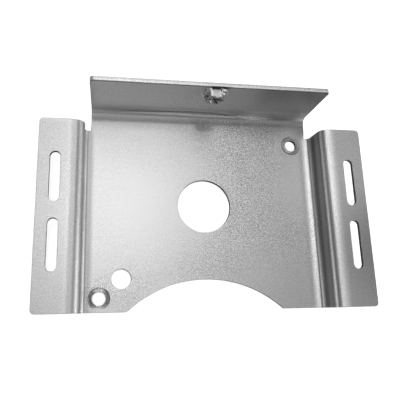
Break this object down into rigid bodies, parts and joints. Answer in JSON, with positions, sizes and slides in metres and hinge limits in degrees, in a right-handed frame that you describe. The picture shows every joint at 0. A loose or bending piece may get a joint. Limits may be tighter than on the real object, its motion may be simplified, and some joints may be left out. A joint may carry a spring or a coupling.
{
  "type": "motor mounting bracket",
  "caption": "Folded sheet steel bracket with slotted raised wings, a central bore, a front cut-out and a rear flange with a weld nut; it carries a motor and sets its belt tension.",
  "frame": {"origin": "centre of the main bore on the back face of the plate, which is also the bottom centre of the box", "axes": "+X to the right wing, +Y to the rear flange, +Z from the back face to the top face, the way the wings and the flange rise"},
  "size_m": [0.25, 0.16, 0.054],
  "materials": {
    "galvanised_sheet": "satin zinc coating with a fine mottled grain",
    "plated_nut": "bright zinc plating",
    "weld_metal": "grey rippled weld metal"
  },
  "bodies": {
    "root": {"bracket_sheet": "galvanised_sheet", "weld_nut": "plated_nut", "weld_beads": "weld_metal"}
  },
  "joints": []
}
